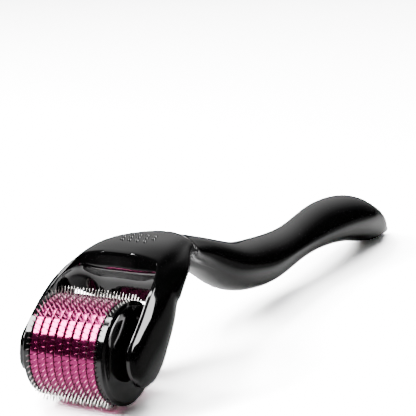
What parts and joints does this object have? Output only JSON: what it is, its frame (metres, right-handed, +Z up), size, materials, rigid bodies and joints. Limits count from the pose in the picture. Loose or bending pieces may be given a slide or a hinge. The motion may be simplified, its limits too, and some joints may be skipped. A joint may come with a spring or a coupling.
{
  "type": "derma roller",
  "caption": "Hand-held derma roller: a spinning drum of steel needle discs and pink spacer rings in the fork of a glossy black S-curved handle.",
  "frame": {"origin": "centre of the object's footprint, on the surface it lies on", "axes": "+X along the handle from the drum to the butt, Y along the drum's axle, +Z up; the object lies with its needle tips and its butt on the table"},
  "size_m": [0.1395, 0.0242, 0.0256],
  "materials": {
    "black_plastic": "high gloss, moulded",
    "lower_black_plastic": "high gloss, moulded",
    "cap_black_plastic": "high gloss, moulded",
    "hub_plastic": "as moulded",
    "pink_plastic": "glossy, slightly translucent",
    "needle_steel": "polished tips, stamped faces"
  },
  "bodies": {
    "handle": {"handle_upper_shell": "black_plastic", "handle_lower_shell": "lower_black_plastic"},
    "roller": {"hub_core": "hub_plastic", "left_end_cap": "cap_black_plastic", "right_end_cap": "cap_black_plastic", "needle_disc_1": "needle_steel", "needle_disc_2": "needle_steel", "needle_disc_3": "needle_steel", "needle_disc_4": "needle_steel", "needle_disc_5": "needle_steel", "needle_disc_6": "needle_steel", "needle_disc_7": "needle_steel", "needle_disc_8": "needle_steel", "needle_disc_9": "needle_steel", "spacer_ring_1": "pink_plastic", "spacer_ring_2": "pink_plastic", "spacer_ring_3": "pink_plastic", "spacer_ring_4": "pink_plastic", "spacer_ring_5": "pink_plastic", "spacer_ring_6": "pink_plastic", "spacer_ring_7": "pink_plastic", "spacer_ring_8": "pink_plastic"}
  },
  "joints": [
    {"name": "roller_spin", "type": "hinge", "parent": "handle", "child": "roller", "pos_m": [-0.0597, 0, 0.01], "axis": [0, 1, 0], "continuous": true}
  ]
}
